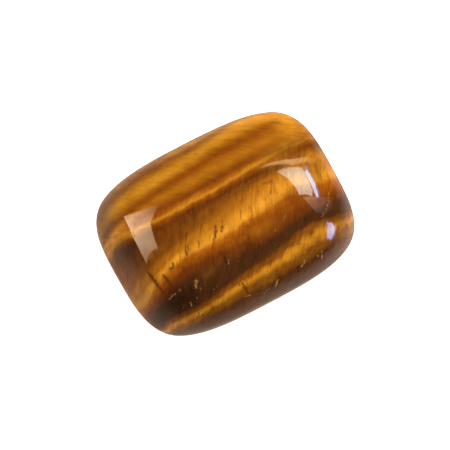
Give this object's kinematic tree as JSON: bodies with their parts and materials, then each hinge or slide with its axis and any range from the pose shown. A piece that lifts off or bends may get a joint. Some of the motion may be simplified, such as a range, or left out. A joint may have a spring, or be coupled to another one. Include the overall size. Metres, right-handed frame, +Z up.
{
  "type": "tumbled stone",
  "caption": "Polished cushion-shaped stone with chatoyant gold, amber and umber bands and a small flat underneath.",
  "frame": {"origin": "under the middle of the stone's box, on the plane that it rests on", "axes": "+X along the stone's length and its bands, +Y across it, +Z up from the resting flat to the crown"},
  "size_m": [0.0254, 0.0196, 0.0132],
  "materials": {
    "stone": "high polish, banded gold and brown"
  },
  "bodies": {
    "root": {"tigers_eye_stone": "stone"}
  },
  "joints": []
}
